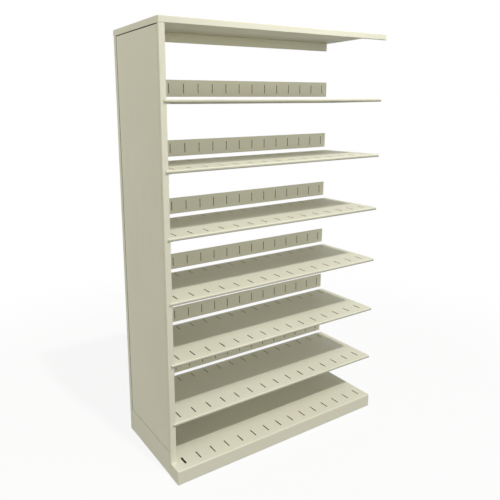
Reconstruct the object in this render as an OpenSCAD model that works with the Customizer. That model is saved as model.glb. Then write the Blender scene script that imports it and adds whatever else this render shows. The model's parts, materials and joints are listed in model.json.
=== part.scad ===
// Steel open file shelving unit, the kind that is added to the left of a starter unit.
// X runs to the right, Y to the back and Z up. Lengths are in millimetres.
// One closed upright stands at the left, and the right ends wait for the next upright.

/* [Overall] */
// Height from the floor to the top of the canopy
overall_h = 1936.75; // [1700:1:2300]
// Width over the canopy
overall_w = 1244.6; // [1000:1:1500]
// Depth of the upright and of the canopy
upright_d = 444.5; // [430:0.5:700]
// How far the base reaches in front of the upright
toe_d = 63.5; // [45:0.5:90]

/* [Levels] */
// Number of clip slot steps between two shelves
level_steps = 11; // [9:1:12]
// Clip slot row that carries the lowest adjustable shelf
first_row = 6; // [6:1:8]
// Distance between two clip slots of a post
slot_pitch = 25; // [24:0.1:27]
// Height of the lowest clip slot above the floor
slot_start_z = 84; // [75:1:86]

/* [Sheet steel] */
// Sheet of the shelves, the canopy and the base
sheet_t = 1.2; // [0.9:0.1:1.5]
// Sheet of the posts
post_t = 1.6; // [1.2:0.1:2]
// Sheet of the backstops and the side panel
light_t = 1; // [0.8:0.1:1.2]
// Bend radius on the middle of the sheet
bend_r = 1.8; // [1.5:0.1:2.4]

/* [Posts] */
// Width of a post, seen from the front
post_w = 27; // [22:0.1:32]
// Depth of the front post
front_post_d = 38; // [34:0.5:46]
// Depth of the rear post
rear_post_d = 50; // [44:0.5:60]
// Radius of a post's outer corner
post_r = 2.5; // [2:0.5:4]
// Lip that closes a post's open side
post_lip = 8; // [6:0.5:9]
// Width of the face strip beside the panel on the front post
front_strip = 13; // [8.5:0.5:16]
// Width of the face strip beside the panel on the rear post
rear_strip = 27; // [16:0.5:30]
// Height of a clip slot
clip_slot_h = 12.7; // [11:0.1:14]
// Width of a clip slot
clip_slot_w = 3.2; // [3:0.1:4]

/* [Side panel] */
// Height of the panel's lower edge above the floor
panel_z = 116; // [90:1:130]
// Dark groove between the canopy's side band and the panel
groove_h = 4.5; // [3:0.5:8]
// Dark gap round the panel's lower and rear edges
panel_gap = 4; // [2:0.5:6]
// Hem along the panel's edges
panel_hem = 9; // [7:0.5:12]

/* [Shelves] */
// Length of an adjustable shelf
shelf_l = 1210; // [1000:1:1400]
// Depth of an adjustable shelf
shelf_d = 379.5; // [340:0.5:390]
// Height of the shelf's edge
shelf_h = 14.3; // [12:0.1:20]
// Radius of the shelf's rolled front edge
shelf_nose_r = 5; // [3:0.5:6]
// Width of the lip that is turned in under the shelf's front and rear edge
shelf_return = 14; // [8:0.5:20]
// How far the shelf's front edge stands in front of the post's face
shelf_proud = 5; // [3.5:0.5:8]
// How far the shelf's front edge reaches over the post's face
shelf_over = 13; // [6:0.1:16]
// Width of the stiffening channel under a row of slots
stiffener_w = 76; // [72:1:80]
// Width of each of the channel's welded brims
stiffener_brim = 9; // [7:0.5:10]
// Height of the channel
stiffener_h = 10; // [8:0.5:11]

/* [Divider slots] */
// Number of divider slots in a row
divider_count = 15; // [9:1:15]
// Distance between two divider slots of a shelf
divider_pitch = 78.8; // [70:0.1:80]
// Distance between two divider slots of the bottom shelf
base_pitch = 76.2; // [68:0.1:78]
// Length of a divider slot
divider_l = 44.5; // [36:0.5:50]
// Width of a divider slot
divider_w = 3.6; // [3:0.1:5]
// From the shelf's front edge to the middle of the front row
front_row = 57; // [45:0.5:70]
// From the shelf's rear edge to the middle of the rear row
rear_row = 42; // [40:0.5:60]
// How far the bottom shelf's rows are set to the right of its middle
slot_shift = 7; // [0:0.5:10]

/* [Backstops] */
// Height of a backstop
backstop_h = 76.2; // [68:0.1:90]
// Clear gap between a shelf and its backstop
backstop_gap = 19; // [16:0.5:25]
// Depth of the backstop's closed section
backstop_d = 9; // [7:0.5:12]
// Slit where the backstop's folded sheet meets itself at the rear
backstop_slit = 0.6; // [0.4:0.1:2]
// From the shelf's right end back to the backstop's right end
backstop_short = 19; // [5:1:30]
// From the shelf's rear edge forward to the backstop's face
backstop_inset = 10; // [9:0.5:14]

/* [Canopy] */
// Height of the canopy's front, side and rear bands
band_h = 25.4; // [22:0.1:32]
// From the canopy's open right end to its two joining holes
join_inset = 12.7; // [10:0.1:16]
// Depth of the rail under the canopy
rail_h = 43; // [36:0.5:50]
// From the shelves' rear edge back to the rail's face
rail_back = 11; // [6:0.5:20]
// Lip turned in under the canopy's bands
band_return = 12; // [8:0.5:16]

/* [Base] */
// Height of the base's front
base_h = 66; // [60:0.5:80]
// Length of the base
base_l = 1168.4; // [1000:1:1190]
// Radius of the base's front corner
corner_r = 6; // [5.5:0.5:16]
// Radius of the base's upper front edge
nose_r = 4; // [3:0.5:6]
// Flange that lies on the floor
floor_flange = 22; // [16:0.5:26]

/* [Shelf clips] */
// Sheet of a clip
clip_t = 1.8; // [1.5:0.1:2]
// Height of a clip's plate
clip_h = 40; // [36:0.5:44]
// Width of the front clip's plate
front_clip_w = 30; // [24:0.5:32]
// Width of the ledge that carries the shelf
ledge_w = 14; // [10:0.5:18]
// Length of the rear clip's arm in front of the rear post
arm_l = 62; // [55:0.5:70]
// Clearance between a shelf and what it rests on
seat_gap = 0.3; // [0.2:0.05:0.5]

/* [Fasteners and plugs] */
// Diameter of a bolt's shank
bolt_d = 5; // [4:0.1:6]
// Across the flats of a bolt's head
bolt_head = 9.5; // [8:0.1:10]
// Height of a bolt's head
bolt_head_h = 3.4; // [3:0.1:4]
// Diameter of a rivet's head
rivet_d = 7; // [6:0.1:8]
// Number of rivets on each edge of the side panel
rivet_count = 7; // [5:1:9]
// Height of the plug in a post's lower end
plug_h = 12; // [8:1:20]
// Diameter of the holes that join this unit to the next
join_d = 7; // [6:0.1:8]

/* [Hidden] */

// Number of adjustable shelves
shelf_count = 6;
// Flat facets in one bend
bend_steps = 4;
// Facets of a true circle
round_fn = 32;
// Sides of a bolt's head
hex_fn = 6;
half_turn = 180;
full_turn = 360;
quarter_turn = 90;
// Overrun of every cut
over = 5;
// Clearance between two sheets of the same upright
sheet_gap = 0.3;
// Clearance between a shelf's end and the post beside it
end_gap = 1.2;

// Colours of the paint and of the bare zinc
paint = [0.82, 0.81, 0.72];
paint_dark = [0.70, 0.69, 0.60];
zinc = [0.72, 0.73, 0.74];

// The upright's planes: its posts are flush with the canopy's bands
post_x0 = 0;
post_x1 = post_x0 + post_w;
post_y0 = 0;
post_y1 = post_y0 + upright_d;
post_top_z = overall_h - band_h - sheet_gap;
panel_top_z = overall_h - band_h - groove_h;
// Lower edge of the channel that joins the posts' heads
head_z0 = panel_top_z - 2 * panel_hem;
head_z1 = overall_h - sheet_t;
// Lower edge of the channel that joins the posts' feet
foot_z0 = 2 * light_t;
// The posts' outer webs step in by this much behind the panel
panel_step = light_t + sheet_gap;

// The shelves' planes
shelf_x0 = post_x1 - shelf_over;
shelf_x1 = shelf_x0 + shelf_l;
shelf_in_x = post_x1 + end_gap;
shelf_y0 = post_y0 - shelf_proud;
shelf_y1 = shelf_y0 + shelf_d;
notch_y = post_y0 - sheet_gap;

// Height of the clip's ledge above the slot that carries it
ledge_rise = clip_slot_h / 2;
function row_z(row) = slot_start_z + row * slot_pitch;
function level_row(i) = first_row + (shelf_count - i) * level_steps;
function ledge_z(i) = row_z(level_row(i)) + ledge_rise;
function shelf_z(i) = i > shelf_count ? base_h : ledge_z(i) + seat_gap + shelf_h;

function backstop_mid_z(i) = shelf_z(i) + backstop_gap + backstop_h / 2;

// The rivets' and studs' rows run down the middle of the posts' stepped webs
web_y_front = post_y0 + (front_strip + panel_step + front_post_d) / 2;
web_y_rear = post_y1 - (rear_strip + panel_step + rear_post_d) / 2;
rivet_step = (head_z0 - panel_z - 4 * panel_hem) / (rivet_count - 1);
function rivet_z(k) = panel_z + 2 * panel_hem + k * rivet_step;
base_stud_z = base_h / 2;

// The canopy's two studs pass through the channel between the posts' heads
head_y0 = post_y0 + front_post_d;
head_y1 = post_y1 - rear_post_d;
head_stud_ys = [head_y0 + (head_y1 - head_y0) / 5, head_y1 - (head_y1 - head_y0) / 5];
head_stud_z = overall_h - band_h / 2;

// The last clip slot stays clear of the canopy's band
last_row = floor((overall_h - band_h - groove_h - clip_slot_h - slot_start_z) / slot_pitch);
clip_slot_y_front = post_y0 + front_post_d / 2;
clip_slot_y_rear = post_y1 - rear_post_d / 2;

// The divider slots' rows
divider_mid_x = (shelf_x0 + shelf_x1) / 2;
base_mid_x = base_l / 2 + slot_shift;
base_y0 = -toe_d;

// The backstops' planes
backstop_y = shelf_y1 - backstop_inset;
backstop_x1 = shelf_x1 - backstop_short;

// The backstops' bolts pass through the rear post beside its clip slots
backstop_bolt_y = clip_slot_y_rear - rear_post_d / 4;

// The canopy rail's face
rail_y = shelf_y1 + rail_back;

// The two joining holes of the base's end
join_z = base_h / 2;
join_ys = [post_y0 + front_post_d / 2, shelf_y1 - 2 * floor_flange];

// Points and headings along a bent sheet
function heading(a, b) = atan2(b[1] - a[1], b[0] - a[0]);
function unit(angle) = [cos(angle), sin(angle)];
function side_of(angle) = unit(angle + quarter_turn);
function wrap(angle) =
    angle > half_turn ? angle - full_turn : angle < -half_turn ? angle + full_turn : angle;
function turn(a, b, c) = wrap(heading(b, c) - heading(a, b));

// One bend at point b: each entry is a point on the middle of the sheet and its heading
function bend(a, b, c, r) =
    let (
        start_angle = heading(a, b),
        swing = turn(a, b, c),
        way = sign(swing),
        back = r * tan(abs(swing) / 2),
        start = b - back * unit(start_angle),
        centre = start + way * r * side_of(start_angle)
    )
    [for (k = [0 : bend_steps])
        let (angle = start_angle + swing * k / bend_steps)
        [centre - way * r * side_of(angle), angle]];

function run(p, r) =
    let (last = len(p) - 1)
    concat(
        [[p[0], heading(p[0], p[1])]],
        [for (i = [1 : last - 1]) each bend(p[i - 1], p[i], p[i + 1], is_list(r) ? r[i - 1] : r)],
        [[p[last], heading(p[last - 1], p[last])]]
    );

// Cross-section of a sheet of thickness t that is bent along the points p.
// The radius r is one number, or a list with one for each point between the ends.
module bent(p, t, r = bend_r) {
    path = run(p, r);
    last = len(path) - 1;
    left = [for (q = path) q[0] + t / 2 * side_of(q[1])];
    right = [for (i = [last : -1 : 0]) path[i][0] - t / 2 * side_of(path[i][1])];
    polygon(concat(left, right));
}

// A profile drawn in Y and Z, drawn out along X from x0 to x1
module along_x(x0, x1) {
    translate([x0, 0, 0])
        rotate([quarter_turn, 0, quarter_turn])
            linear_extrude(height = x1 - x0)
                children();
}

// A profile drawn in X and Z, drawn out along Y from y0 to y1
module along_y(y0, y1) {
    translate([0, y1, 0])
        rotate([quarter_turn, 0, 0])
            linear_extrude(height = y1 - y0)
                children();
}

// A block between two corners
module block(low, high) {
    translate(low)
        cube(high - low);
}

// The unit's own frame: the middle of its floor area is the origin
module place() {
    translate([-overall_w / 2, -(upright_d - toe_d) / 2, 0])
        children();
}

// A slot with round ends, l long along Y and w wide
module slot_outline(l, w) {
    square([w, l - w], center = true);
    for (end = [-1, 1])
        translate([0, end * (l - w) / 2])
            circle(d = w, $fn = round_fn);
}

// Both rows of divider slots, cut down through a sheet whose top is at z
module divider_cuts(mid_x, pitch, y0, y1, z) {
    for (k = [0 : divider_count - 1])
        for (y = [y0 + front_row, y1 - rear_row])
            translate([mid_x + (k - (divider_count - 1) / 2) * pitch, y, z - over])
                linear_extrude(height = 2 * over)
                    slot_outline(divider_l, divider_w);
}

// A round hole along X between x0 and x1
module hole_x(y, z, d, x0, x1) {
    translate([x0, y, z])
        rotate([0, quarter_turn, 0])
            cylinder(d = d, h = x1 - x0, $fn = round_fn);
}

// Holes in the outer web of a post: the base's stud and the rivets
module web_holes(y) {
    x0 = post_x0 - over;
    x1 = post_x0 + over + post_t;
    hole_x(y, base_stud_z, bolt_d + 2 * sheet_gap, x0, x1);
    for (k = [0 : rivet_count - 1])
        hole_x(y, rivet_z(k), rivet_d / 2 + 2 * sheet_gap, x0, x1);
}

// Clip slots in the inner web of a post
module clip_slots(y) {
    for (row = [0 : last_row])
        block(
            [post_x1 - post_t - over, y - clip_slot_w / 2, row_z(row) - clip_slot_h / 2],
            [post_x1 + over, y + clip_slot_w / 2, row_z(row) + clip_slot_h / 2]
        );
}

// Cross-section of a post from its face, seen from above, with the face at y = 0.
// The outer web slopes in behind the face strip, and the side panel lies in that step.
module post_section(depth, strip) {
    half = post_t / 2;
    step = panel_step;
    bent([
        [post_lip + step, depth - half],
        [step + half, depth - half],
        [step + half, strip + step],
        [half, strip],
        [half, half],
        [post_w - half, half],
        [post_w - half, depth - half],
        [post_w - post_lip, depth - half]
    ], post_t, [bend_r, bend_r, bend_r, post_r, bend_r, bend_r, bend_r]);
}

module front_post() {
    color(paint) place()
        difference() {
            translate([post_x0, post_y0, 0])
                linear_extrude(height = post_top_z)
                    post_section(front_post_d, front_strip);
            clip_slots(clip_slot_y_front);
            web_holes(web_y_front);
        }
}

module rear_post() {
    color(paint) place()
        difference() {
            translate([post_x0, post_y1, 0])
                linear_extrude(height = post_top_z)
                    mirror([0, 1])
                        post_section(rear_post_d, rear_strip);
            clip_slots(clip_slot_y_rear);
            web_holes(web_y_rear);
            for (i = [1 : shelf_count + 1])
                hole_x(backstop_bolt_y, backstop_mid_z(i), bolt_d + 2 * sheet_gap, post_x1 - over, post_x1 + over);
        }
}

// The side panel closes the upright, with a hem turned in along each long edge
module side_panel() {
    half = light_t / 2;
    y0 = post_y0 + front_strip + panel_step + sheet_gap;
    y1 = post_y1 - rear_strip - panel_step - panel_gap;
    x = post_x0 + half;
    hem_x = post_x0 + panel_hem;
    front_hem_y = post_y0 + front_post_d + sheet_gap + half;
    rear_hem_y = post_y1 - rear_post_d - sheet_gap - half;
    hem_z0 = panel_z + panel_gap / 2 + half;
    hem_z1 = head_z0 - sheet_gap - half;
    color(paint) place()
        union() {
            block([post_x0, y0, panel_z + panel_gap / 2], [post_x0 + light_t, y1, panel_top_z]);
            for (y = [front_hem_y, rear_hem_y])
                block([x, y - half, hem_z0], [hem_x, y + half, hem_z1]);
            for (z = [hem_z0, hem_z1])
                block([x, front_hem_y - half, z - half], [hem_x, rear_hem_y + half, z + half]);
        }
}

// Cross channel between the posts, drawn with its web at the outer side
module cross_channel(z0, z1) {
    half = post_t / 2;
    x0 = post_x0 + light_t + sheet_gap + post_t + half;
    x1 = post_x1 - post_t - half;
    along_y(head_y0, head_y1)
        bent([[x1, z0 + half], [x0, z0 + half], [x0, z1 - half], [x1, z1 - half]], post_t);
}

module upright_head() {
    color(paint) place()
        difference() {
            cross_channel(head_z0, head_z1);
            for (y = head_stud_ys)
                hole_x(y, head_stud_z, bolt_d + 2 * sheet_gap, post_x0, post_x0 + 2 * over);
        }
}

module upright_foot() {
    color(paint) place()
        cross_channel(foot_z0, panel_z);
}

// Plugs in the posts' lower ends
module post_feet() {
    inset = post_t + 2 * sheet_gap;
    color(zinc) place()
        for (foot = [[post_y0, front_post_d], [head_y1, rear_post_d]])
            block(
                [post_x0 + panel_step + inset, foot[0] + inset, 0],
                [post_x1 - inset, foot[0] + foot[1] - inset, plug_h]
            );
}

// The canopy: a pan with bands at the front, left and rear, open towards the next unit
module canopy() {
    half = sheet_t / 2;
    top = overall_h - half;
    low = overall_h - band_h + half;
    color(paint) place()
        difference() {
            union() {
                along_x(sheet_t, overall_w)
                    bent([
                        [half + band_return, low], [half, low], [half, top],
                        [upright_d - half, top], [upright_d - half, low],
                        [upright_d - half - band_return, low]
                    ], sheet_t);
                block([0, 0, low - half], [sheet_t, upright_d, overall_h]);
            }
            for (y = [clip_slot_y_front, clip_slot_y_rear])
                translate([overall_w - join_inset, y, top - over])
                    cylinder(d = join_d, h = 2 * over, $fn = round_fn);
        }
}

// Angle rail under the canopy, behind the line of the shelves
module canopy_rail() {
    half = sheet_t / 2;
    top = overall_h - sheet_t - half;
    low = overall_h - rail_h + half;
    color(paint) place()
        along_x(post_x1 + sheet_gap, overall_w - 2 * join_inset)
            bent([
                [rail_y + band_return, low], [rail_y + half, low],
                [rail_y + half, top], [rail_y + 2 * band_return, top]
            ], sheet_t);
}

// An adjustable shelf: a pan with turned lips, notched round the front post at its left end
module shelf(i) {
    half = sheet_t / 2;
    z1 = shelf_z(i);
    z0 = z1 - shelf_h;
    top = z1 - half;
    low = z0 + half;
    color(paint) place()
        difference() {
            union() {
                along_x(shelf_x0, shelf_x1)
                    bent([
                        [shelf_y0 + shelf_return, low], [shelf_y0 + half, low], [shelf_y0 + half, top],
                        [shelf_y1 - half, top], [shelf_y1 - half, low], [shelf_y1 - shelf_return, low]
                    ], sheet_t, [shelf_nose_r, shelf_nose_r, bend_r, bend_r]);
                block([shelf_in_x, notch_y - sheet_t, z0], [shelf_in_x + sheet_t, shelf_y1 - half, top]);
                block([shelf_x1 - sheet_t, shelf_y0 + half, z0], [shelf_x1, shelf_y1 - half, top]);
                block([shelf_x0, shelf_y0 + half, z0], [shelf_x0 + sheet_t, notch_y, top]);
                block([shelf_x0, notch_y - sheet_t, z0], [shelf_in_x + half, notch_y, top]);
            }
            block([shelf_x0 - over, notch_y, z0 - over], [shelf_in_x, shelf_y1 + over, z1 + over]);
            divider_cuts(divider_mid_x, divider_pitch, shelf_y0, shelf_y1, z1);
        }
}

// Hat-shaped channels under both rows of slots of a sheet whose top is at z
module stiffeners(x0, x1, slot_ys, z) {
    half = sheet_t / 2;
    top = z - sheet_t - half;
    low = top - stiffener_h;
    color(paint_dark) place()
        for (mid_y = slot_ys) {
            brim_y0 = mid_y - stiffener_w / 2;
            brim_y1 = mid_y + stiffener_w / 2;
            along_x(x0, x1)
                bent([
                    [brim_y0, top], [brim_y0 + stiffener_brim, top], [brim_y0 + stiffener_brim, low],
                    [brim_y1 - stiffener_brim, low], [brim_y1 - stiffener_brim, top], [brim_y1, top]
                ], sheet_t);
        }
}

module shelf_stiffeners(i) {
    margin = 2 * stiffener_h;
    slot_ys = [shelf_y0 + front_row, shelf_y1 - rear_row];
    stiffeners(shelf_in_x + margin, shelf_x1 - margin, slot_ys, shelf_z(i));
}

// A backstop: a slotted hollow strip with an arm along the rear post's inner web
module backstop(i) {
    half = light_t / 2;
    z0 = shelf_z(i) + backstop_gap;
    z1 = z0 + backstop_h;
    mid_z = backstop_mid_z(i);
    arm_h = backstop_h / 2;
    face = backstop_y + half;
    rear = backstop_y + backstop_d - half;
    slit = backstop_slit / 2;
    color(paint) place()
        difference() {
            union() {
                along_x(post_x1, backstop_x1)
                    bent([
                        [rear, mid_z - slit], [rear, z0 + half], [face, z0 + half],
                        [face, z1 - half], [rear, z1 - half], [rear, mid_z + slit]
                    ], light_t);
                block(
                    [post_x1, backstop_y, mid_z - arm_h / 2],
                    [post_x1 + light_t, post_y1 - post_t, mid_z + arm_h / 2]
                );
            }
            for (k = [0 : divider_count - 1])
                translate([
                    divider_mid_x + (k - (divider_count - 1) / 2) * divider_pitch,
                    backstop_y + backstop_d / 2,
                    mid_z
                ])
                    rotate([quarter_turn, 0, 0])
                        linear_extrude(height = backstop_d / 2 + over)
                            slot_outline(divider_l, divider_w);
            hole_x(backstop_bolt_y, mid_z, bolt_d + 2 * sheet_gap, post_x1 - over, post_x1 + over);
        }
}

// Hook of a clip: it goes through a slot and hangs behind the post's web
module clip_hook(y, z) {
    drop = clip_slot_h / 3;
    half = clip_t / 2;
    root_x = post_x1 + sheet_gap + half;
    tip_x = post_x1 - post_t - sheet_gap;
    block([tip_x - clip_t, y - half, z - drop], [root_x, y + half, z + drop]);
    block([tip_x - clip_t, y - half, z - 2 * drop], [tip_x, y + half, z + drop]);
}

// One clip: a plate on the post's inner web, two hooks and a ledge under the shelf's end
module clip(slot_y, y0, y1, ledge_y0, ledge_y1, i) {
    z1 = ledge_z(i);
    x0 = post_x1 + sheet_gap;
    block([x0, y0, z1 - clip_h], [x0 + clip_t, y1, z1]);
    block([x0, ledge_y0, z1 - clip_t], [x0 + ledge_w, ledge_y1, z1]);
    for (row = [level_row(i) - 1, level_row(i)])
        clip_hook(slot_y, row_z(row));
}

module shelf_clips(i) {
    front_y0 = clip_slot_y_front - front_clip_w / 2;
    front_y1 = clip_slot_y_front + front_clip_w / 2;
    rear_y0 = post_y1 - rear_post_d - arm_l;
    rear_y1 = clip_slot_y_rear + clip_slot_w * 2;
    color(zinc) place() {
        clip(clip_slot_y_front, front_y0, front_y1, front_y0, front_y1, i);
        clip(clip_slot_y_rear, rear_y0, rear_y1, rear_y0, rear_y0 + front_clip_w, i);
    }
}

// The bottom shelf and its apron are one sheet: the front runs down to a flange on the floor
module bottom_shelf() {
    half = sheet_t / 2;
    top = base_h - half;
    front = base_y0 + half;
    color(paint) place()
        difference() {
            union() {
                along_x(corner_r, base_l - sheet_t)
                    bent([
                        [front + floor_flange, half], [front, half], [front, top],
                        [shelf_y1 - half, top], [shelf_y1 - half, top - shelf_h],
                        [shelf_y1 - shelf_return, top - shelf_h]
                    ], sheet_t, [nose_r, nose_r, bend_r, bend_r]);
                block(
                    [shelf_in_x, notch_y, base_h - shelf_h],
                    [shelf_in_x + sheet_t, shelf_y1 - half, top]
                );
            }
            block([corner_r - over, notch_y, base_h - 2 * shelf_h], [shelf_in_x, shelf_y1 + over, base_h + over]);
            divider_cuts(base_mid_x, base_pitch, base_y0, shelf_y1, base_h);
        }
}

module bottom_stiffener() {
    margin = 2 * stiffener_h;
    slot_ys = [base_y0 + front_row, shelf_y1 - rear_row];
    stiffeners(shelf_in_x + margin, base_l - margin, slot_ys, base_h);
}

// Rounded front corner of the base, with a return along the side and a small top
module base_corner() {
    half = sheet_t / 2;
    top = base_h - half;
    color(paint) place()
        union() {
            translate([corner_r, base_y0 + corner_r, 0])
                rotate([0, 0, half_turn])
                    rotate_extrude(angle = quarter_turn, $fn = 2 * round_fn)
                        bent([[corner_r - half, 0], [corner_r - half, top], [0, top]], sheet_t, nose_r);
            along_y(base_y0 + corner_r, notch_y)
                bent([[half, 0], [half, top], [corner_r, top]], sheet_t, nose_r);
        }
}

// Plate under the side panel, in the same step of the posts, with a flange on the floor
module base_side() {
    half = light_t / 2;
    y0 = post_y0 + front_strip + panel_step + sheet_gap;
    y1 = post_y1 - rear_strip - panel_step - sheet_gap;
    color(paint) place()
        difference() {
            along_y(y0, y1)
                bent([[floor_flange, half], [half, half], [half, panel_z]], light_t);
            for (foot = [[post_y0, front_post_d], [head_y1, rear_post_d]])
                block(
                    [post_x0 + light_t, foot[0] - sheet_gap, -over],
                    [post_x1, foot[0] + foot[1] + sheet_gap, over]
                );
        }
}

// Rear channel of the base, under the bottom shelf's rear edge
module base_rear() {
    half = sheet_t / 2;
    y = shelf_y1 - half;
    top = base_h - sheet_t - shelf_h - half;
    color(paint_dark) place()
        along_x(shelf_in_x, base_l - sheet_t)
            bent([[y - floor_flange, half], [y, half], [y, top], [y - floor_flange, top]], sheet_t);
}

// End plate of the base, with the holes for the bolts to the next unit
module base_end() {
    color(paint_dark) place()
        difference() {
            block([base_l - sheet_t, base_y0 + sheet_t, 0], [base_l, shelf_y1, base_h]);
            for (y = join_ys)
                hole_x(y, join_z, join_d, base_l - over, base_l + over);
        }
}

// A stud or bolt along X with a hexagon nut or head at its inner end
module bolt_x(x0, x1) {
    rotate([0, quarter_turn, 0]) {
        translate([0, 0, x0])
            cylinder(d = bolt_d, h = x1 - x0, $fn = round_fn);
        translate([0, 0, x1])
            cylinder(d = bolt_head * 2 / sqrt(3), h = bolt_head_h, $fn = hex_fn);
    }
}

// Studs that hold the canopy's side band to the channel between the posts' heads
module canopy_bolts() {
    color(zinc) place()
        for (y = head_stud_ys)
            translate([0, y, head_stud_z])
                bolt_x(sheet_t, post_x0 + light_t + sheet_gap + 2 * post_t);
}

// Rivets that hold the side panel's edges to the posts' webs
module panel_rivets() {
    head_h = rivet_d / 4;
    color(zinc) place()
        for (k = [0 : rivet_count - 1])
            for (y = [web_y_front, web_y_rear])
                translate([post_x0 + light_t, y, rivet_z(k)])
                    rotate([0, quarter_turn, 0]) {
                        cylinder(d = rivet_d / 2, h = sheet_gap + post_t + head_h, $fn = round_fn);
                        translate([0, 0, sheet_gap + post_t])
                            cylinder(d = rivet_d, h = head_h, $fn = round_fn);
                    }
}

// Bolts that hold the backstops' arms to the rear post
module backstop_bolts() {
    color(zinc) place()
        for (i = [1 : shelf_count + 1])
            translate([0, backstop_bolt_y, backstop_mid_z(i)])
                bolt_x(post_x1 - post_t - sheet_gap, post_x1 + light_t);
}

// Studs that hold the base's side plate to the posts
module base_bolts() {
    color(zinc) place()
        for (y = [web_y_front, web_y_rear])
            translate([0, y, base_stud_z])
                bolt_x(light_t, post_x0 + panel_step + post_t);
}

module shelf_1() { shelf(1); }
module shelf_2() { shelf(2); }
module shelf_3() { shelf(3); }
module shelf_4() { shelf(4); }
module shelf_5() { shelf(5); }
module shelf_6() { shelf(6); }
module stiffener_1() { shelf_stiffeners(1); }
module stiffener_2() { shelf_stiffeners(2); }
module stiffener_3() { shelf_stiffeners(3); }
module stiffener_4() { shelf_stiffeners(4); }
module stiffener_5() { shelf_stiffeners(5); }
module stiffener_6() { shelf_stiffeners(6); }
module backstop_1() { backstop(1); }
module backstop_2() { backstop(2); }
module backstop_3() { backstop(3); }
module backstop_4() { backstop(4); }
module backstop_5() { backstop(5); }
module backstop_6() { backstop(6); }
module backstop_7() { backstop(7); }
module clips_1() { shelf_clips(1); }
module clips_2() { shelf_clips(2); }
module clips_3() { shelf_clips(3); }
module clips_4() { shelf_clips(4); }
module clips_5() { shelf_clips(5); }
module clips_6() { shelf_clips(6); }

front_post();
rear_post();
side_panel();
upright_head();
upright_foot();
post_feet();
canopy();
canopy_rail();
bottom_shelf();
bottom_stiffener();
base_corner();
base_side();
base_rear();
base_end();
shelf_1();
shelf_2();
shelf_3();
shelf_4();
shelf_5();
shelf_6();
stiffener_1();
stiffener_2();
stiffener_3();
stiffener_4();
stiffener_5();
stiffener_6();
backstop_1();
backstop_2();
backstop_3();
backstop_4();
backstop_5();
backstop_6();
backstop_7();
clips_1();
clips_2();
clips_3();
clips_4();
clips_5();
clips_6();
canopy_bolts();
panel_rivets();
backstop_bolts();
base_bolts();
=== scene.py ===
# %% [markdown]
# # A steel file shelving unit, dressed for its picture
# The unit is made of folded sheet steel: two posts and a panel at the left, a canopy, six shelves
# that rest on clips, a base, and a slotted backstop behind each level. All those sheets come from
# the CAD frame, true to size. What is left for Blender is what a folded sheet doesn't show by
# itself: the powder coat with its orange peel and its scuffs, the zinc of the clips and studs, the
# pressed marks of the spot welds, the light and the camera.
# The frame is loaded first, because each later step measures itself against it.

# %% Load the frame and keep its size
import json
import math

import bmesh
import bpy
import numpy as np
from mathutils import Matrix, Vector


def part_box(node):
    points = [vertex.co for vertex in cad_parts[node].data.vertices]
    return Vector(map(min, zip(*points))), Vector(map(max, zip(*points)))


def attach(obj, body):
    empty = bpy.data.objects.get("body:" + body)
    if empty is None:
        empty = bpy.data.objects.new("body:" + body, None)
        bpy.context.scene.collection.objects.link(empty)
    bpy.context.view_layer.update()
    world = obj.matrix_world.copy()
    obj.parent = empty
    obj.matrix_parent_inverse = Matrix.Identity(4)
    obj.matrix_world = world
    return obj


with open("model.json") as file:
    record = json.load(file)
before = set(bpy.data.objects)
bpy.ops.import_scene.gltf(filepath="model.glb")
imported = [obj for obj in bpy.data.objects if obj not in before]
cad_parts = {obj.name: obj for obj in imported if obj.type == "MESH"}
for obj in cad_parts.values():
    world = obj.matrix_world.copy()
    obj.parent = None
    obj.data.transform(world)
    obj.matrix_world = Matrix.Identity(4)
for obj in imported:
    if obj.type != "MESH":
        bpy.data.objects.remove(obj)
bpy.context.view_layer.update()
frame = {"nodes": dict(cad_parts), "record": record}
NODES = frame["nodes"]
SLOT_OF = {entry["node"]: entry["material_slot"] for entry in frame["record"]["subparts"]}
MM = 0.001

# %% [markdown]
# ## The camera
# The picture looks at the unit from the front and a little from the left, from eye height, with
# the lens close by, so the levels fan out strongly. A camera is three turns, a place and a lens.
# The three turns are written as numbers that a photographer would use: how far it is swung to the
# side, how far it looks down and how far it leans. The picture's middle isn't where the lens
# points, so the lens is shifted, as on a view camera.

# %% Place the camera
SWING, DOWN, LEAN = (math.radians(angle) for angle in (-31.3054, 11.145, 0.7906))
CAMERA_AT = Vector((-1.551171, -2.047961, 1.59096))
FOCAL_PX = 530.53
CENTRE_PX = (207.014, 213.606)
FRAME_PX = 500


def camera_axes(swing, down, lean):
    """Right, up and forward of the camera.

    Forward is +Y swung about Z, then dipped. Right and up are then turned about it by the lean."""
    level_right = Vector((math.cos(swing), math.sin(swing), 0))
    level_forward = Vector((-math.sin(swing), math.cos(swing), 0))
    forward = math.cos(down) * level_forward - math.sin(down) * Vector((0, 0, 1))
    level_down = -math.cos(down) * Vector((0, 0, 1)) - math.sin(down) * level_forward
    right = math.cos(lean) * level_right + math.sin(lean) * level_down
    below = math.cos(lean) * level_down - math.sin(lean) * level_right
    return right, -below, forward


right, up, forward = camera_axes(SWING, DOWN, LEAN)
lens = bpy.data.cameras.new("camera")
lens.sensor_width = 36
lens.lens = FOCAL_PX / FRAME_PX * lens.sensor_width
lens.shift_x = (FRAME_PX / 2 - CENTRE_PX[0]) / FRAME_PX
lens.shift_y = (CENTRE_PX[1] - FRAME_PX / 2) / FRAME_PX
lens.clip_start, lens.clip_end = 0.05, 100
camera = bpy.data.objects.new("camera", lens)
bpy.context.scene.collection.objects.link(camera)
turn = Matrix((right, up, -forward)).transposed().to_4x4()
camera.matrix_world = Matrix.Translation(CAMERA_AT) @ turn
bpy.context.scene.camera = camera
bpy.context.scene.view_settings.view_transform = "Standard"
print("camera: lens", round(lens.lens, 2), "mm, shift", round(lens.shift_x, 3), round(lens.shift_y, 3))

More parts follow.
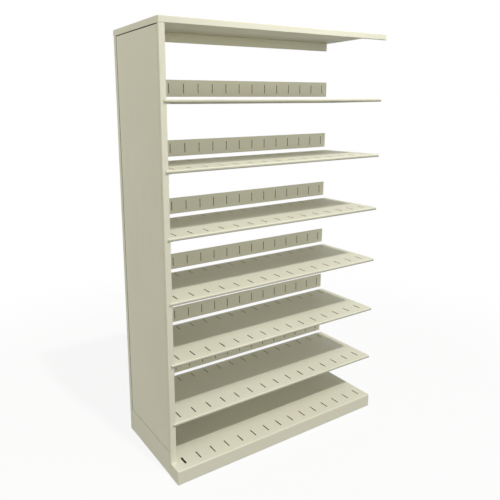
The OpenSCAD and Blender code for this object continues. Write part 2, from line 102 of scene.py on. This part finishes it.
# %% [markdown]
# ## Writing a finish as arithmetic
# A procedural finish is a small formula on the place of a point. Wired by hand it is a web of Math
# nodes that nobody can read. So one small class wraps a node's output and gives it Python's own
# operators: each operator adds its Math node. Colours are mixed by Mix nodes, since a Math node
# would turn them grey.

# %% A socket with arithmetic
class Signal:
    """One output of a node. The operators add Math nodes to the same web of nodes."""

    def __init__(self, web, socket):
        self.web = web
        self.socket = socket

    def _math(self, operation, *values):
        return self.web.node("ShaderNodeMath", {"operation": operation}, values)

    def __add__(self, other):
        return self._math("ADD", self, other)

    def __radd__(self, other):
        return self._math("ADD", other, self)

    def __sub__(self, other):
        return self._math("SUBTRACT", self, other)

    def __rsub__(self, other):
        return self._math("SUBTRACT", other, self)

    def __mul__(self, other):
        return self._math("MULTIPLY", self, other)

    def __rmul__(self, other):
        return self._math("MULTIPLY", other, self)

    def __truediv__(self, other):
        return self._math("DIVIDE", self, other)

    def __abs__(self):
        return self._math("ABSOLUTE", self)

    def clamp(self):
        """The value, held between 0 and 1."""
        return self._math("MAXIMUM", self._math("MINIMUM", self, 1), 0)

    def ramp(self, low, high):
        """0 below low, 1 above high, and a smooth step between them."""
        settings = {"interpolation_type": "SMOOTHSTEP"}
        inputs = {"Value": self, "From Min": low, "From Max": high}
        return self.web.node("ShaderNodeMapRange", settings, inputs)


print("a signal has:", [name for name in vars(Signal) if callable(getattr(Signal, name))])

# %% [markdown]
# The second class holds a web of nodes. Its one method `node` takes a node's type, its settings
# and its inputs, so every node of every finish is made in the same line-by-line way. A material
# and the world are both such webs, so both use it.

# %% A web of nodes that is built line by line
class Web:
    """The nodes of one material or of the world."""

    def __init__(self, tree):
        self.tree = tree

    def node(self, kind, settings, inputs, output=None):
        """Add a node, write its settings, fill its inputs by name or in order, and give one output."""
        made = self.tree.nodes.new(kind)
        for key, value in settings.items():
            setattr(made, key, value)
        pairs = inputs.items() if isinstance(inputs, dict) else enumerate(inputs)
        for key, value in pairs:
            self.plug(made.inputs[key], value)
        if len(made.outputs) == 0:
            return None
        return Signal(self, made.outputs[output or 0])

    def plug(self, socket, value):
        """Link a signal to the socket, or write a plain value into it."""
        if isinstance(value, Signal):
            self.tree.links.new(value.socket, socket)
        else:
            socket.default_value = value

    def looked_at(self):
        """1 for a ray from the camera, directly or by a reflection or through glass, and 0 for light."""
        rays = ("Camera", "Glossy", "Transmission")
        return sum(self.node("ShaderNodeLightPath", {}, {}, f"Is {ray} Ray") for ray in rays).clamp()


print("a web has:", [name for name in vars(Web) if callable(getattr(Web, name))])

# %% [markdown]
# A finish is a web with a Principled shader, and with the few patterns that its formulas use.
# Patterns read Object coordinates, in metres: a CAD node's object sits at the unit's origin, so a
# pattern runs on through from sheet to sheet and stays on a shelf that is lifted. The number in a
# noise is how many of its lumps fit in a metre, so 430 is a lump of about two millimetres.

# %% A finish
class Finish(Web):
    """A material with a Principled shader and the patterns that its formulas use."""

    def __init__(self, name):
        self.material = bpy.data.materials.new(name)
        self.material.use_nodes = True
        super().__init__(self.material.node_tree)
        self.shader = self.tree.nodes["Principled BSDF"]
        self.place = self.node("ShaderNodeTexCoord", {}, {}, "Object")

    def set(self, **values):
        """Fill the shader's own sockets. A blank in a socket's name is written as _."""
        for name, value in values.items():
            self.plug(self.shader.inputs[name.replace("_", " ")], value)

    def stretched(self, x, y, z):
        """The place times a number for each axis. A pattern is drawn out along the axis with the
        small number."""
        return self.node("ShaderNodeMapping", {}, {"Vector": self.place, "Scale": (x, y, z)})

    def noise(self, scale, detail=3.0, place=None, rough=0.5):
        """Soft lumps, scale of them in a metre, with detail more layers of finer ones."""
        inputs = {"Vector": place or self.place, "Scale": scale, "Detail": detail, "Roughness": rough}
        return self.node("ShaderNodeTexNoise", {}, inputs)

    def axis(self, name, vector=None):
        """One coordinate of the place, or of another vector."""
        return self.node("ShaderNodeSeparateXYZ", {}, [vector or self.place], name)

    def facing(self, name):
        """How far the surface looks along an axis: 1 towards it, 0 across it and -1 away from it."""
        return self.axis(name, self.node("ShaderNodeNewGeometry", {}, {}, "Normal"))

    def mix(self, factor, a, b):
        """Colour a where factor is 0 and colour b where it is 1. The node's inputs 0, 6 and 7 and
        its output 2 are the ones for colours."""
        mixed = self.tree.nodes.new("ShaderNodeMix")
        mixed.data_type = "RGBA"
        for index, value in ((0, factor), (6, a), (7, b)):
            self.plug(mixed.inputs[index], value)
        return Signal(self, mixed.outputs[2])

    def edges(self, radius):
        """1 on a sharp edge or corner and 0 on a flat face: how far a rounded normal leans away
        from the real one."""
        soft = self.node("ShaderNodeBevel", {"samples": 4}, {"Radius": radius})
        hard = self.node("ShaderNodeNewGeometry", {}, {}, "Normal")
        lean = self.node("ShaderNodeVectorMath", {"operation": "DOT_PRODUCT"}, [soft, hard], "Value")
        return (1 - lean).ramp(0.02, 0.3)

    def bump(self, height, depth, below=None):
        """A normal that follows a height of depth metres, on top of the bump below."""
        inputs = {"Height": height, "Distance": depth, "Strength": 1.0}
        if below is not None:
            inputs["Normal"] = below
        return self.node("ShaderNodeBump", {}, inputs)


print("a finish adds:", [name for name in vars(Finish) if callable(getattr(Finish, name))])

# %% [markdown]
# ## The powder coat
# The sheets are coated with a putty-coloured powder that is baked on. It is satin, even in colour,
# and has an orange peel: low waves two millimetres across that the melting powder leaves. Under it
# the sheet itself isn't quite flat. A flat colour with one roughness would look like card. So the
# formula has, from the large to the small: a slow cloudiness of the colour, a slow waviness of the
# sheet, the orange peel, the fine tooth of the satin, dust that dulls the faces that look up, and
# a thinner, slightly darker coat on the sheet's edges. Two masks that differ from sheet to sheet
# come on top, both painted shade: a near-black colour in gaps, on shelf noses and in one slot, and
# another inside closed folds and round slots.

# %% The coat that all sheets share
PUTTY = (0.742, 0.728, 0.585, 1)
PUTTY_DEEP = (0.722, 0.706, 0.562, 1)
PUTTY_THIN = (0.62, 0.60, 0.47, 1)
DUST = (0.70, 0.69, 0.60, 1)
SCUFF = (0.60, 0.59, 0.49, 1)
# The next two colours are painted shade: near black, laid in gaps, on noses, in slots and inside folds.
PAINTED_SHADE = (0.02, 0.018, 0.011, 1)
INSIDE_SHADE = (0.06, 0.055, 0.035, 1)
CLOUDS, WAVES, PEEL, TOOTH = 2.3, 5.0, 430.0, 2600.0
BLOTCHES, DUST_LUMPS, WEAR_LUMPS, PAINTED_SHADE_LUMPS = 9.0, 14.0, 60.0, 40.0
WAVE_DEPTH, PEEL_DEPTH, TOOTH_DEPTH = 0.5 * MM, 0.035 * MM, 0.004 * MM
EDGE_R = 1.1 * MM
SATIN = 0.46


def powder_coat(name, scuffs=None, scuff_share=0.5, dust_share=0.25, shade_mask=None, inside=None):
    """Colour = putty, clouded by slow noise, then scuffs, dust on what looks up, a thin coat on
    edges, painted shade where the first mask says and painted shade inside folds and slots.
    Roughness = satin + tooth + dust + marks + wear.
    Bump = sheet waves, then orange peel, then tooth."""
    coat = Finish(name)
    clouds = coat.noise(CLOUDS, 2.0).ramp(0.35, 0.65)
    marks = scuffs(coat) if scuffs else coat.noise(BLOTCHES, 4.0).ramp(0.62, 0.8)
    settled = coat.noise(DUST_LUMPS, 5.0, rough=0.65).ramp(0.35, 0.75)
    dust = coat.facing("Z").ramp(0.8, 1.0) * settled
    worn = coat.edges(EDGE_R) * coat.noise(WEAR_LUMPS, 4.0).ramp(0.42, 0.62)
    tooth = coat.noise(TOOTH, 1.0)
    colour = coat.mix(clouds, PUTTY, PUTTY_DEEP)
    colour = coat.mix(marks * scuff_share, colour, SCUFF)
    colour = coat.mix(dust * dust_share, colour, DUST)
    colour = coat.mix(worn * 0.5, colour, PUTTY_THIN)
    rough = SATIN + tooth * 0.06 + dust * 0.12 + marks * 0.06 + worn * 0.1 + clouds * 0.02
    # Painted shade: a near-black colour where the mask of gaps, noses and a slot is 1.
    if shade_mask:
        shade_and_grime = (shade_mask(coat) * (0.9 + coat.noise(PAINTED_SHADE_LUMPS, 4.0) * 0.2)).clamp()
        colour = coat.mix(shade_and_grime, colour, PAINTED_SHADE)
        rough = rough + shade_and_grime * 0.3
    # Painted shade: a near-black colour inside closed folds and round slots.
    if inside:
        fold_shade = inside(coat)
        colour = coat.mix(fold_shade, colour, INSIDE_SHADE)
        rough = rough + fold_shade * 0.2
    normal = coat.bump(coat.noise(WAVES, 0.0), WAVE_DEPTH)
    normal = coat.bump(coat.noise(PEEL, 1.5), PEEL_DEPTH, normal)
    normal = coat.bump(tooth, TOOTH_DEPTH, normal)
    coat.set(Base_Color=colour, Roughness=rough, Normal=normal, Specular_IOR_Level=0.4)
    return coat.material


print("coat: peel", round(1 / PEEL / MM, 1), "mm, tooth", round(1 / TOOTH / MM, 1), "mm")

# %% [markdown]
# ## Wear
# Each sheet has its own wear, a mask from 0 to 1. Streaks are noise on a stretched place: of the
# three numbers for X, Y and Z, the small one belongs to the axis that the streaks run along. A
# shelf's streaks run from front to back, as the folders do. A post's marks are upright smudges at
# hand height, and the base's marks are short level lines near the floor. A cloth leaves level
# streaks on the canopy.

# %% Streaks, smudges and lines
FOLDER_STREAKS, FOLDER_GROUPS = (330.0, 3.0, 3.0), 7.0
HAND_SMUDGES, HAND_LOW, HAND_HIGH, HAND_FADE = (30.0, 30.0, 9.0), 1.1, 1.35, 0.4
SHOE_LINES, SHOE_LOW, SHOE_HIGH = (14.0, 14.0, 240.0), 15 * MM, 62 * MM
CLOTH_STREAKS = (4.0, 160.0, 160.0)


def band(value, low, high, soft):
    """1 between low and high, fading out over soft on both sides."""
    return value.ramp(low - soft, low) * (1 - value.ramp(high, high + soft))


def folder_scuffs(coat):
    """Streaks along Y, broken up by a slower noise, so that they come in groups."""
    streaks = coat.noise(1.0, 5.0, coat.stretched(*FOLDER_STREAKS), 0.6).ramp(0.58, 0.78)
    return streaks * coat.noise(FOLDER_GROUPS, 1.0).ramp(0.45, 0.7)


def hand_smudges(coat):
    """Soft upright smudges, strongest at the heights where hands take hold of the post."""
    smudges = coat.noise(1.0, 4.0, coat.stretched(*HAND_SMUDGES)).ramp(0.5, 0.75)
    return smudges * band(coat.axis("Z"), HAND_LOW, HAND_HIGH, HAND_FADE)


def shoe_marks(coat):
    """Short level lines, fading out 6 cm above the floor."""
    lines = coat.noise(1.0, 4.0, coat.stretched(*SHOE_LINES), 0.6).ramp(0.56, 0.72)
    return lines * (1 - coat.axis("Z").ramp(SHOE_LOW, SHOE_HIGH))


def cloth_streaks(coat):
    """Faint level streaks along X, as a cloth leaves on a flat canopy or a backstop."""
    return coat.noise(1.0, 4.0, coat.stretched(*CLOTH_STREAKS), 0.55).ramp(0.58, 0.76)


patterns = {"folder": FOLDER_STREAKS, "hand": HAND_SMUDGES, "shoe": SHOE_LINES, "cloth": CLOTH_STREAKS}
print("widths of the marks in mm:", {name: round(1 / max(lumps) / MM) for name, lumps in patterns.items()})

# %% [markdown]
# ## Painted shade in the gaps
# The side panel lies in a step of the two posts, with a groove over it and narrow gaps behind and
# below it. A near-black painted shade draws them as dark lines. The gaps' places are read from the
# boxes of the panel and of its neighbours, and a band is the mask for one of them. The noses of the
# shelves get a fainter painted shade in the same way.

# %% Painted shade in gaps and on noses
PANEL_LOW, PANEL_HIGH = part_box("side_panel")
CANOPY_BAND = 25.4 * MM
GROOVE_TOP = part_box("canopy")[1].z - CANOPY_BAND
BASE_PLATE_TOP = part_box("base_side")[1].z
FRONT_GAP, REAR_GAP, GAP_SHADE_DEPTH = 1.5 * MM, 5 * MM, 12 * MM
NOSE_DEPTH, NOSE_FADE = 6 * MM, 1 * MM


def panel_gap_shade(coat):
    """Painted shade in the gaps round the side panel, each a band of height or depth, a little wider
    than the gap. It lies behind the plane of the faces: there x is a skin more than the panel's own."""
    x, y, z = (coat.axis(name) for name in "XYZ")
    skin, spill, fade = 0.3 * MM, 0.5 * MM, 0.8 * MM
    behind = band(x, PANEL_LOW.x + skin, PANEL_LOW.x + GAP_SHADE_DEPTH, skin / 2)
    between = band(y, PANEL_LOW.y - FRONT_GAP, PANEL_HIGH.y + REAR_GAP, spill)
    over = band(z, PANEL_HIGH.z - spill, GROOVE_TOP + spill, fade)
    under = band(z, BASE_PLATE_TOP - spill, PANEL_LOW.z + spill, fade)
    rear = band(y, PANEL_HIGH.y - spill, PANEL_HIGH.y + REAR_GAP, fade)
    return (behind * between * (over + under + rear)).clamp()


def nose_shade(coat):
    """Painted shade on a shelf's nose: the faces near its front that look forward or down.
    The mask grows with their turn away from straight up, so the nose keeps an unshaded line along
    its top."""
    nose_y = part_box("shelf_1")[0].y + NOSE_DEPTH
    near_front = 1 - coat.axis("Y").ramp(nose_y, nose_y + NOSE_FADE)
    turned = 1 - coat.facing("Z").ramp(-0.2, 0.8)
    return near_front * turned * (0.26 + 0.16 * coat.noise(8.0, 3.0))


gaps = {"over": GROOVE_TOP - PANEL_HIGH.z, "under": PANEL_LOW.z - BASE_PLATE_TOP}
print("gaps at the panel in mm:", {name: round(gap / MM, 1) for name, gap in gaps.items()})

# %% [markdown]
# ## Slots
# A painted shade rim round each slot of the shelves makes the slots read as dark marks a little
# wider than the holes that are there. A row of fifteen marks needs no fifteen masks: the place
# along the row is counted in steps from slot to slot, and the part behind the comma says how far
# the next slot is. The places come from the record's mounts.

# %% Painted shade at the slots of the shelves
MOUNTS = {mount["name"]: mount for mount in frame["record"]["mounts"]}
SLOT_COUNT = 15
SHELF_STEP, BASE_STEP = 78.8 * MM, 76.2 * MM
SHADE_RIM, SIDE_FADE, END_FADE = 1.6 * MM, 0.5 * MM, 1 * MM
REAR_SHELF_SHARE, REAR_BASE_SHARE = 0.45, 0.8


def slot_shade(mount_name, step, rear_share):
    """A painted shade mask for one kind of shelf. With u the place along the row counted in steps, the
    nearest slot's middle is at |fract(u + 1/2) - 1/2| steps. The mask is 1 where that is less than
    half a slot and a rim, in the front row, and rear_share in the rear row, whose slots are painted
    less dark."""
    mount = MOUNTS[mount_name]
    size = mount["dims"]
    middle_x, middle_y, _ = mount["pos_m"]
    half_gap = size["spacing_y_mm"] / 2 * MM
    half_l = size["slot_length_mm"] / 2 * MM + SHADE_RIM
    half_w = size["hole_r_mm"] * MM + SHADE_RIM

    def mask(coat):
        u = (coat.axis("X") - middle_x) / step
        across = abs(coat.node("ShaderNodeMath", {"operation": "FRACT"}, [u + 0.5]) - 0.5) * step
        along = abs(abs(coat.axis("Y") - middle_y) - half_gap)
        row = 1 - abs(u).ramp(SLOT_COUNT / 2 - 0.2, SLOT_COUNT / 2)
        patchy = 0.55 + 0.45 * coat.noise(55.0, 2.0).ramp(0.3, 0.6)
        front = 1 - (1 - rear_share) * coat.axis("Y").ramp(middle_y, middle_y + END_FADE)
        side = 1 - across.ramp(half_w - SIDE_FADE, half_w)
        end = 1 - along.ramp(half_l - END_FADE, half_l)
        return side * end * row * patchy * front

    return mask


def first_slot_shade(coat):
    """The bottom shelf's first slot, at the upright's foot, gets a wide black painted shade."""
    mount = MOUNTS["divider_slots_base"]
    first_x = mount["pos_m"][0] - (SLOT_COUNT - 1) / 2 * BASE_STEP
    first_y = mount["pos_m"][1] - mount["dims"]["spacing_y_mm"] / 2 * MM
    half_w, half_l, fade = 5 * MM, 20 * MM, 0.5 * MM
    across = band(coat.axis("X"), first_x - half_w, first_x + half_w, fade)
    return across * band(coat.axis("Y"), first_y - half_l, first_y + half_l, fade)


print("slots:", SLOT_COUNT, "in a row,", round(SHELF_STEP / MM, 1), "mm apart on the shelves")

# %% [markdown]
# Inside the backstops and the channels under the slots a near-black painted shade darkens the
# inner faces, and so it does on the punched walls of the slots. The masks tell the inner
# faces from the outer ones by where they lie and which way they look.

# %% Painted shade inside the folds
BACKSTOP_LOW, BACKSTOP_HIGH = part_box("backstop_1")
BACKSTOP_RIM = 12 * MM
INNER_FROM, INNER_FULL, INNER_FADE = 4 * MM, 6 * MM, 1 * MM


def channel_floor_shade(coat):
    """Painted shade on the inner faces of a channel under the slots, which look up at the shelf: the
    mask is the upward part of the normal. In the rear channels the painted shade is half as dark."""
    return coat.facing("Z").ramp(0.3, 0.6) * (1 - 0.5 * coat.axis("Y").ramp(0, INNER_FADE))


def backstop_inside_shade(coat):
    """Painted shade inside a backstop. The rear wall's inner face looks to the front from deep behind
    the backstop's face. The slots' walls look sideways, and keep a rim's distance from the backstop's
    ends."""
    behind = coat.axis("Y").ramp(BACKSTOP_LOW.y + INNER_FROM, BACKSTOP_LOW.y + INNER_FULL)
    forward = (0 - coat.facing("Y")).ramp(0.3, 0.6)
    sideways = abs(coat.facing("X")).ramp(0.5, 0.8)
    first_x, last_x = BACKSTOP_LOW.x + BACKSTOP_RIM, BACKSTOP_HIGH.x - BACKSTOP_RIM
    in_the_row = band(coat.axis("X"), first_x, last_x, INNER_FADE)
    return (behind * forward + sideways * in_the_row).clamp()


print("backstop:", round((BACKSTOP_HIGH.x - BACKSTOP_LOW.x) / MM), "mm long with its arm")

# %% [markdown]
# With the masks at hand, a coat for each kind of sheet is one line: its name, its marks, how
# strong they are, how much dust lies on it, its painted shade mask and its painted shade inside.

# %% One coat for each kind of sheet
shelf_slot_shade = slot_shade("divider_slots_1", SHELF_STEP, REAR_SHELF_SHARE)
base_slot_shade = slot_shade("divider_slots_base", BASE_STEP, REAR_BASE_SHARE)
coats = {
    "shelf": powder_coat("coat_shelf", folder_scuffs, 0.35, 0.2, nose_shade, shelf_slot_shade),
    "bottom": powder_coat("coat_bottom", folder_scuffs, 0.35, 0.3, first_slot_shade, base_slot_shade),
    "post": powder_coat("coat_post", hand_smudges, 0.18, 0.1, panel_gap_shade),
    "base": powder_coat("coat_base", shoe_marks, 0.4, 0.3),
    "plate": powder_coat("coat_plate", shoe_marks, 0.3, 0.3, panel_gap_shade),
    "canopy": powder_coat("coat_canopy", cloth_streaks, 0.15, 0.45),
    "backstop": powder_coat("coat_backstop", cloth_streaks, 0.15, 0.2, inside=backstop_inside_shade),
    "hidden": powder_coat("coat_hidden", None, 0.2, 0.5, panel_gap_shade),
    "channel": powder_coat("coat_channel", None, 0.2, 0.5, inside=channel_floor_shade),
}
print("powder coats:", sorted(coats), "with", len(coats["shelf"].node_tree.nodes), "nodes in the shelf's")

# %% [markdown]
# ## The zinc of clips, feet and fasteners
# The clips and bolts are plated, not painted, so that they slide without chipping. Fresh zinc is a
# dull silver with a faint spangle: cells of crystal that each shine a little differently. A cell
# pattern gives each cell its own grey and its own roughness, and a fine stretched noise adds the
# rolling marks of the strip it was stamped from.

# %% Plated zinc
ZINC_DARK, ZINC_LIGHT = (0.42, 0.43, 0.45, 1), (0.56, 0.57, 0.59, 1)
ZINC_EDGE, ZINC_DIRT = (0.68, 0.68, 0.69, 1), (0.34, 0.33, 0.31, 1)
ZINC_EDGE_R, ROLLING_DEPTH = 0.8 * MM, 0.01 * MM
ROLLING_ALONG, ZINC_PATCHES = 60.0, 45.0


def plated(name, spangle, rolling):
    """Colour and roughness step from cell to cell. Edges are worn brighter, and dirt dulls patches.
    spangle is the number of cells in a metre, and rolling that of the rolling marks."""
    plate = Finish(name)
    inputs = {"Vector": plate.place, "Scale": spangle}
    shade = plate.axis("X", plate.node("ShaderNodeTexVoronoi", {"feature": "F1"}, inputs, "Color"))
    grain = plate.noise(1.0, 3.0, plate.stretched(rolling, ROLLING_ALONG, rolling)).ramp(0.3, 0.7)
    edge = plate.edges(ZINC_EDGE_R)
    shade_and_grime = plate.noise(ZINC_PATCHES, 5.0).ramp(0.5, 0.72)
    colour = plate.mix(shade, ZINC_DARK, ZINC_LIGHT)
    colour = plate.mix(shade_and_grime * 0.4, colour, ZINC_DIRT)
    colour = plate.mix(edge * 0.6, colour, ZINC_EDGE)
    rough = 0.34 + shade * 0.12 + shade_and_grime * 0.2 + grain * 0.08 - edge * 0.08
    normal = plate.bump(grain, ROLLING_DEPTH)
    plate.set(Base_Color=colour, Roughness=rough, Metallic=1 - shade_and_grime * 0.3, Normal=normal)
    return plate.material


zincs = {"clip": plated("zinc_clip", 260.0, 900.0), "fastener": plated("zinc_fastener", 700.0, 1500.0)}
print("zinc:", sorted(zincs))

# %% [markdown]
# ## Dressing the frame
# Every sheet keeps its CAD mesh, because its folds are already right, and only its material is
# changed. Which coat it gets follows from what the sheet does, so a table gives the coat of each
# name, without the number of its level. What isn't in it is zinc.

# %% Give each node its finish
COAT_OF = {
    "shelf": "shelf",
    "bottom_shelf": "bottom",
    "backstop": "backstop",
    "canopy": "canopy",
    "canopy_rail": "canopy",
    "front_post": "post",
    "rear_post": "post",
    "side_panel": "post",
    "base_corner": "base",
    "base_side": "plate",
    "base_end": "base",
    "base_rear": "hidden",
    "upright_head": "hidden",
    "upright_foot": "hidden",
    "stiffener": "channel",
    "bottom_stiffener": "channel",
}
ZINC_OF = {"clips": "clip", "post_feet": "clip"}


def kind_of(node_name):
    """The name without the number of its level."""
    stem, _, last = node_name.rpartition("_")
    return stem if last.isdigit() else node_name


def finish_of(node_name):
    """Zinc where the record says so, and else the coat of the sheet's kind."""
    kind = kind_of(node_name)
    if SLOT_OF[node_name] == "zinc":
        return zincs[ZINC_OF.get(kind, "fastener")]
    return coats[COAT_OF[kind]]


def dress(thing, material):
    """Give a thing one material and no other."""
    thing.data.materials.clear()
    thing.data.materials.append(material)


dressed = {}
for node_name, thing in NODES.items():
    material = finish_of(node_name)
    dress(thing, material)
    dressed.setdefault(material.name, []).append(node_name)
print("dressed:", {name: len(nodes) for name, nodes in dressed.items()})

# %% [markdown]
# ## Spot welds
# The hat-shaped channels under the rows of slots aren't glued there: a row of spot welds holds each
# of their brims. A spot weld leaves a shallow round dimple with a low rim where the electrode
# pressed. The paint covers it, so it is seen as a soft ring of light on the underside. A ring is a
# curve turned about an axis, so one is worked out as a surface of two parameters, the way out from
# the middle and the way round. Its faces have to look down, as the underside does, and the sixteen
# points that fall together in its middle become one, or the light would show a pinch there.

# %% A dimple as a surface
def dimple(radius, rim, ways_out=5, ways_round=16):
    """Points (ways_out, ways_round, 3). With s from 0 in the middle to 1 at the outside, the height
    below the sheet is rim * sin(pi * s^2), so it is 0 in the middle, highest near s = 0.7 and 0
    again where it meets the sheet."""
    s = np.linspace(0, 1, ways_out)[:, None]
    turn_by = np.linspace(0, 2 * np.pi, ways_round, endpoint=False)[None, :]
    height = rim * np.sin(np.pi * s**2) * np.ones_like(turn_by)
    return np.stack([radius * s * np.cos(turn_by), radius * s * np.sin(turn_by), -height], axis=-1)


def grid_faces(rows, columns):
    """Quads between neighbouring points of a grid that closes on itself along its columns. They are
    listed so that a disc's faces look down, the way that the underside of a sheet does."""
    row, column = np.meshgrid(np.arange(rows - 1), np.arange(columns), indexing="ij")
    after = (column + 1) % columns
    this_row, next_row = row * columns, (row + 1) * columns
    quads = np.stack([this_row + after, next_row + after, next_row + column, this_row + column], axis=-1)
    return quads.reshape(-1, 4)


MERGED = 0.001 * MM


def mesh_object(name, points, faces):
    """A smooth mesh from arrays of points and quads, linked to the scene. Points that coincide, as those
    at a pole do, are merged into one."""
    mesh = bpy.data.meshes.new(name)
    mesh.from_pydata(points.reshape(-1, 3).tolist(), [], faces.tolist())
    work = bmesh.new()
    work.from_mesh(mesh)
    bmesh.ops.remove_doubles(work, verts=work.verts, dist=MERGED)
    work.to_mesh(mesh)
    work.free()
    mesh.polygons.foreach_set("use_smooth", np.ones(len(mesh.polygons), bool))
    mesh.validate()
    thing = bpy.data.objects.new(name, mesh)
    bpy.context.scene.collection.objects.link(thing)
    return thing


WELD_R, WELD_RIM = 2.6 * MM, 0.3 * MM
one_weld = dimple(WELD_R, WELD_RIM)
print("a weld:", one_weld.shape[:2], "points, rim", round(-one_weld[..., 2].min() / MM, 2), "mm")

# %% [markdown]
# One dimple is then copied along the brims as one array. Both channels of a level are one CAD node.
# The front one starts where the node's box starts, and the rear one ends where it ends, so the
# middles of the four brims follow from the box, the channel's width and the brim's width.

# %% Rows of dimples
CHANNEL_W, BRIM_W, SHEET_T, WELD_STEP = 76 * MM, 9 * MM, 1.2 * MM, 76.2 * MM


def weld_rows(node_name, name, body):
    """Four rows of dimples, one under each brim of the node's two channels, centred on their length.
    Each copy's points are the dimple's plus its centre, and its faces count on from the last copy's."""
    low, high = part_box(node_name)
    count = int((high.x - low.x) / WELD_STEP)
    xs = (low.x + high.x) / 2 + (np.arange(count) - (count - 1) / 2) * WELD_STEP
    inner, outer = BRIM_W / 2, CHANNEL_W - BRIM_W / 2
    ys = np.array([low.y + inner, low.y + outer, high.y - outer, high.y - inner])
    centres = np.stack(np.meshgrid(xs, ys, indexing="ij"), axis=-1).reshape(-1, 2)
    places = np.concatenate([centres, np.full((len(centres), 1), high.z - SHEET_T)], axis=1)
    points = one_weld.reshape(1, -1, 3) + places[:, None, :]
    first_points = np.arange(len(places))[:, None, None] * points.shape[1]
    faces = grid_faces(*one_weld.shape[:2])[None] + first_points
    welds = mesh_object(name, points, faces.reshape(-1, 4))
    dress(welds, coats["channel"])
    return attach(welds, body)


made = [weld_rows(f"stiffener_{i}", f"welds_{i}", f"shelf_{i}") for i in range(1, 7)]
made.append(weld_rows("bottom_stiffener", "welds_bottom", "frame"))
print("welds:", [len(thing.data.polygons) for thing in made], "faces")

# %% [markdown]
# ## Floor and background
# The picture has no room, only white. The floor is a real plane that keeps the unit's shadow, and
# the camera also sees a share of plain white in it, which grows to the whole a few steps from the
# unit, so that floor and background meet without a line. The undersides of the shelves are dark in
# the picture, so hardly any light came up from below: to light that isn't looked at, the floor is
# a dull grey card.

# %% Floor
FLOOR_SIZE = 60.0
WHITE_SHARE, SHADOW_REACH, WHITE_FROM = 0.88, 1.3, 3.0
FLOOR_SEEN, FLOOR_CARD = (0.80, 0.80, 0.79, 1), (0.12, 0.12, 0.11, 1)
WHITE = (1, 1, 1, 1)
corners = np.array([[-1, -1, 0], [1, -1, 0], [1, 1, 0], [-1, 1, 0]]) * FLOOR_SIZE / 2
floor = mesh_object("floor", corners, np.array([[0, 1, 2, 3]]))
ground = Finish("floor")
looked_at = ground.looked_at()
ground_colour = ground.mix(looked_at, FLOOR_CARD, FLOOR_SEEN)
ground.set(Base_Color=ground_colour, Roughness=0.9, Specular_IOR_Level=0.0)
white = ground.node("ShaderNodeEmission", {}, {"Color": WHITE, "Strength": 1.0})
away = ground.node("ShaderNodeVectorMath", {"operation": "LENGTH"}, [ground.place], "Value")
share = WHITE_SHARE + away.ramp(SHADOW_REACH, WHITE_FROM) * (1 - WHITE_SHARE)
plain = Signal(ground, ground.shader.outputs[0])
blend = ground.node("ShaderNodeMixShader", {}, [looked_at * share, plain, white])
ground.plug(ground.tree.nodes["Material Output"].inputs["Surface"], blend)
dress(floor, ground.material)
print("floor:", FLOOR_SIZE, "m wide, plain white from", WHITE_FROM, "m on")

# %% [markdown]
# The world is white where it is looked at, directly or in a reflection, so that the background is
# white and the metal mirrors it. For everything else it is a plain even light, a little warm.

# %% World
WORLD_LIGHT = 0.44
WORLD_TINT = (1.0, 1.0, 0.95, 1)
world = bpy.data.worlds.new("world")
bpy.context.scene.world = world
world.use_nodes = True
sky = Web(world.node_tree)
sky.tree.nodes.clear()
backgrounds = [
    sky.node("ShaderNodeBackground", {}, {"Color": tint, "Strength": strength})
    for tint, strength in ((WORLD_TINT, WORLD_LIGHT), (WHITE, 1.0))
]
seen = sky.node("ShaderNodeMixShader", {}, [sky.looked_at(), *backgrounds])
sky.node("ShaderNodeOutputWorld", {}, {"Surface": seen})
print("world:", WORLD_LIGHT, "for light, 1.0 where it is seen")

# %% [markdown]
# ## The lamps
# The shelf above throws a shadow on each shelf, level with its front edge, and a narrow strip at
# the right end stays lit. The shadow's edge gives the light's direction: for each metre down it
# goes well over half a metre back and some centimetres to the left. So the key light is a sun,
# high in front, with a disc of a few degrees that softens the edge. The closed side is even from
# top to bottom, so a soft sun fills it, level, from the left: it can't reach the shelves, because
# the panel stands in its way. A weaker one, level too, fills the front.

# %% Suns
def lamp(name, kind, way, **settings):
    """A lamp that shines along way, with its settings written on its data."""
    data = bpy.data.lights.new(name, kind)
    for key, value in settings.items():
        setattr(data, key, value)
    thing = bpy.data.objects.new(name, data)
    thing.rotation_mode = "QUATERNION"
    thing.rotation_quaternion = Vector(way).to_track_quat("-Z", "Y")
    bpy.context.scene.collection.objects.link(thing)
    return thing


def sun(name, way, degrees, **settings):
    """A sun whose disc is some degrees across: the wider it is, the softer its shadows are."""
    return lamp(name, "SUN", way, angle=math.radians(degrees), **settings)


KEY_WAY = (-0.10, 0.58, -1.0)
SIDE_WAY = (1.0, 0.05, 0.0)
FRONT_WAY = (0.0, 1.0, 0.0)
sun("key", KEY_WAY, 3, energy=1.48, color=(1.0, 0.998, 0.99))
sun("side_fill", SIDE_WAY, 30, energy=1.66, color=(1.0, 0.985, 0.90))
sun("front_fill", FRONT_WAY, 20, energy=0.49, color=(1.0, 0.995, 0.99))

# %% [markdown]
# The shadows themselves grow lighter towards the floor. A wide soft box in front, at the height of
# a person's chest, does that: it looks under the upper shelves but down on the lower ones. A small
# one above the canopy adds the light that makes the front brighter at its top than at its foot.

# %% Soft boxes
def soft_box(name, place, aim, **settings):
    """A rectangle of light at place, in metres, turned to shine at aim."""
    box = lamp(name, "AREA", Vector(aim) - Vector(place), shape="RECTANGLE", **settings)
    box.location = place
    return box


soft_box("chest_box", (0.2, -2.4, 1.5), (0.2, 0, 1.5), energy=8.5, size=1.6, size_y=0.8)
top_box = soft_box("top_box", (0.4, -1.3, 3.0), (0, -0.19, 1.8), energy=4.5, size=1.0, size_y=0.4)
top_box.data.spread = math.radians(100)

# %% [markdown]
